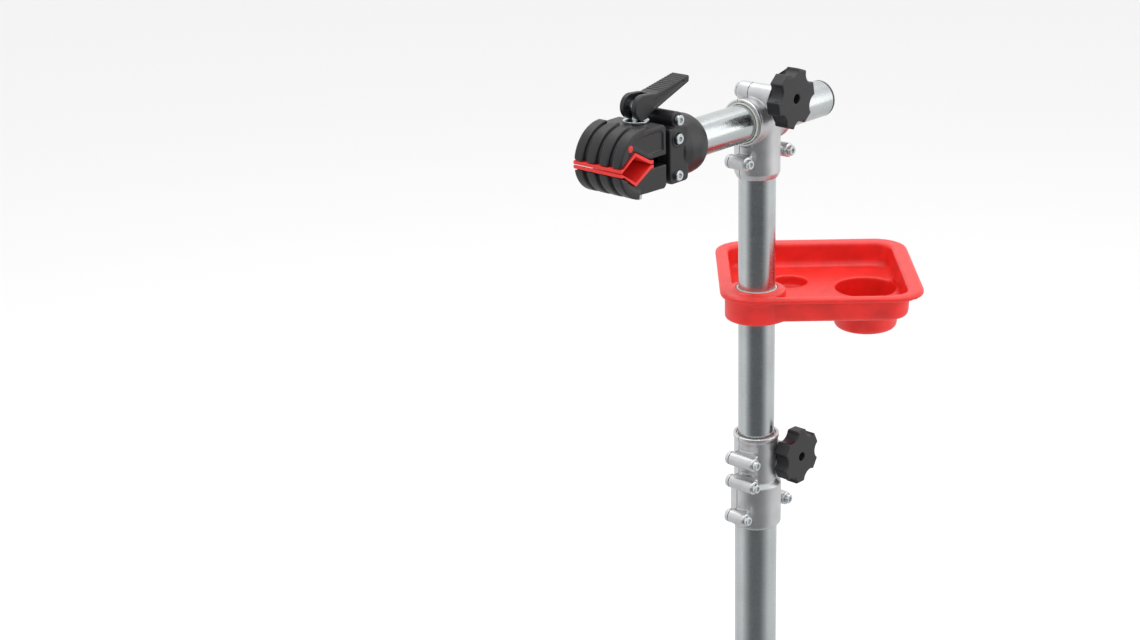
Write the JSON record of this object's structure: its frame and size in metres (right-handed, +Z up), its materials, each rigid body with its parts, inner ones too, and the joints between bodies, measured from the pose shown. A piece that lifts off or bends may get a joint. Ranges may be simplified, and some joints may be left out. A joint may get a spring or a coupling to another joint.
{
  "type": "bicycle repair stand",
  "caption": "Folding tripod repair stand with a height-adjustable tube, a rotating arm with cam-locked V jaws for a bicycle frame, and a corner-mounted tool tray.",
  "frame": {"origin": "on the floor, in the middle of the outline of the whole stand at rest", "axes": "+Z up the tubes, +X along the arm towards the jaws, +Y towards the faces of the star knobs"},
  "size_m": [0.7602, 0.8726, 1.2972],
  "materials": {
    "zinc_tube": "zinc plated, satin",
    "zinc_lower_tube": "zinc plated, satin",
    "cast_aluminium": "satin casting",
    "black_plastic": "moulded, fine grain",
    "knob_plastic": "moulded, fine grain",
    "red_plastic": "moulded, soft gloss",
    "red_pad": "soft rubber",
    "nylon": "plain",
    "zinc_screw": "bright zinc",
    "black_rubber": "matte"
  },
  "bodies": {
    "base": {"lower_tube": "zinc_lower_tube", "lower_tube_plug": "black_plastic", "leg_hub": "cast_aluminium", "leg_hub_screw_1": "zinc_screw", "leg_hub_screw_2": "zinc_screw", "leg_hub_screw_3": "zinc_screw", "leg_pivot_bolt_1": "zinc_screw", "leg_pivot_bolt_2": "zinc_screw", "leg_pivot_bolt_3": "zinc_screw", "leg_pivot_nut_1": "zinc_screw", "leg_pivot_nut_2": "zinc_screw", "leg_pivot_nut_3": "zinc_screw", "collar_front": "cast_aluminium", "collar_rear": "cast_aluminium", "collar_screw_1": "zinc_screw", "collar_screw_2": "zinc_screw", "collar_screw_3": "zinc_screw", "collar_screw_4": "zinc_screw", "height_knob_bolt": "zinc_screw"},
    "collar_sleeve": {"collar_liner": "nylon"},
    "post": {"upper_tube": "zinc_tube", "upper_tube_guide": "nylon", "tee_clamp_front": "cast_aluminium", "tee_clamp_rear": "cast_aluminium", "tee_screw_jaw_side": "zinc_screw", "tee_screw_tail_side": "zinc_screw", "arm_knob_bolt": "zinc_screw"},
    "height_washer": {"height_knob_washer": "zinc_screw"},
    "height_star": {"height_knob": "knob_plastic"},
    "arm_washer": {"arm_knob_washer": "zinc_screw"},
    "arm_star": {"arm_knob": "knob_plastic"},
    "tray_sleeve": {"tray_bush": "nylon"},
    "tray": {"tool_tray": "red_plastic", "tray_screw": "zinc_screw"},
    "arm_sleeve": {"arm_liner": "nylon"},
    "arm": {"arm_tube": "zinc_tube", "arm_end_cap": "black_plastic", "head_shell_front": "black_plastic", "head_shell_rear": "black_plastic", "head_screw_top": "zinc_screw", "head_screw_bottom": "zinc_screw", "jaw_pivot_screw": "zinc_screw", "lower_jaw": "black_plastic", "lower_jaw_pad": "red_pad", "stud_nut": "zinc_screw", "jaw_spring": "zinc_screw"},
    "top_jaw": {"upper_jaw": "black_plastic", "upper_jaw_pad": "red_pad"},
    "saddle": {"saddle_washer": "zinc_screw"},
    "stud": {"clamp_stud": "zinc_screw"},
    "lever": {"cam_lever": "black_plastic"},
    "leg_front": {"leg_front_eye": "black_plastic", "leg_front_tube": "zinc_lower_tube", "leg_front_foot": "black_rubber"},
    "leg_right": {"leg_right_eye": "black_plastic", "leg_right_tube": "zinc_lower_tube", "leg_right_foot": "black_rubber"},
    "leg_left": {"leg_left_eye": "black_plastic", "leg_left_tube": "zinc_lower_tube", "leg_left_foot": "black_rubber"}
  },
  "joints": [
    {"name": "post_swivel", "type": "hinge", "parent": "base", "child": "collar_sleeve", "pos_m": [-0.11988, 0, 0.87], "axis": [0, 0, 1], "continuous": true},
    {"name": "post_height", "type": "slide", "parent": "collar_sleeve", "child": "post", "axis": [0, 0, 1], "range_m": [-0.06, 0.3]},
    {"name": "height_knob_travel", "type": "slide", "parent": "base", "child": "height_washer", "axis": [0, 1, 0], "range_m": [0, 0.0025]},
    {"name": "height_knob_turn", "type": "hinge", "parent": "height_washer", "child": "height_star", "pos_m": [-0.14738, 0.03, 0.862], "axis": [0, 1, 0], "range_deg": [0, 720]},
    {"name": "arm_knob_travel", "type": "slide", "parent": "post", "child": "arm_washer", "axis": [0, 1, 0], "range_m": [0, 0.0025]},
    {"name": "arm_knob_turn", "type": "hinge", "parent": "arm_washer", "child": "arm_star", "pos_m": [-0.11988, 0.04, 1.2561], "axis": [0, 1, 0], "range_deg": [0, 720]},
    {"name": "tray_height", "type": "slide", "parent": "post", "child": "tray_sleeve", "axis": [0, 0, 1], "range_m": [-0.04, 0.08]},
    {"name": "tray_swivel", "type": "hinge", "parent": "tray_sleeve", "child": "tray", "pos_m": [-0.11988, 0, 1.05], "axis": [0, 0, 1], "continuous": true},
    {"name": "arm_roll", "type": "hinge", "parent": "post", "child": "arm_sleeve", "pos_m": [-0.11988, 0, 1.23], "axis": [1, 0, 0], "continuous": true},
    {"name": "arm_reach", "type": "slide", "parent": "arm_sleeve", "child": "arm", "axis": [1, 0, 0], "range_m": [-0.07, 0.045]},
    {"name": "jaw_open", "type": "hinge", "parent": "arm", "child": "top_jaw", "pos_m": [0.03712, 0, 1.246], "axis": [0, -1, 0], "range_deg": [0, 14], "deforming": ["jaw_spring"]},
    {"name": "stud_travel", "type": "slide", "parent": "arm", "child": "saddle", "axis": [0, 0, 1], "range_m": [0, 0.01]},
    {"name": "stud_turn", "type": "hinge", "parent": "saddle", "child": "stud", "pos_m": [0.06412, 0, 1.23], "axis": [0, 0, 1], "range_deg": [0, 2880]},
    {"name": "lever_throw", "type": "hinge", "parent": "stud", "child": "lever", "pos_m": [0.06412, 0, 1.278], "axis": [0, 1, 0], "range_deg": [0, 110]},
    {"name": "leg_front_fold", "type": "hinge", "parent": "base", "child": "leg_front", "pos_m": [-0.06988, 0, 0.36], "axis": [0, 1, 0], "range_deg": [0, 50]},
    {"name": "leg_right_fold", "type": "hinge", "parent": "base", "child": "leg_right", "pos_m": [-0.14488, 0.0433, 0.36], "axis": [-0.866, -0.5, 0], "range_deg": [0, 50]},
    {"name": "leg_left_fold", "type": "hinge", "parent": "base", "child": "leg_left", "pos_m": [-0.14488, -0.0433, 0.36], "axis": [0.866, -0.5, 0], "range_deg": [0, 50]}
  ],
  "couplings": [
    {"joint": "height_knob_travel", "follows": "height_knob_turn", "m_per_rad": 0.00019894},
    {"joint": "arm_knob_travel", "follows": "arm_knob_turn", "m_per_rad": 0.00019894},
    {"joint": "stud_travel", "follows": "stud_turn", "m_per_rad": 0.00019894},
    {"joint": "jaw_open", "follows": "stud_turn", "ratio": 0.004861}
  ]
}
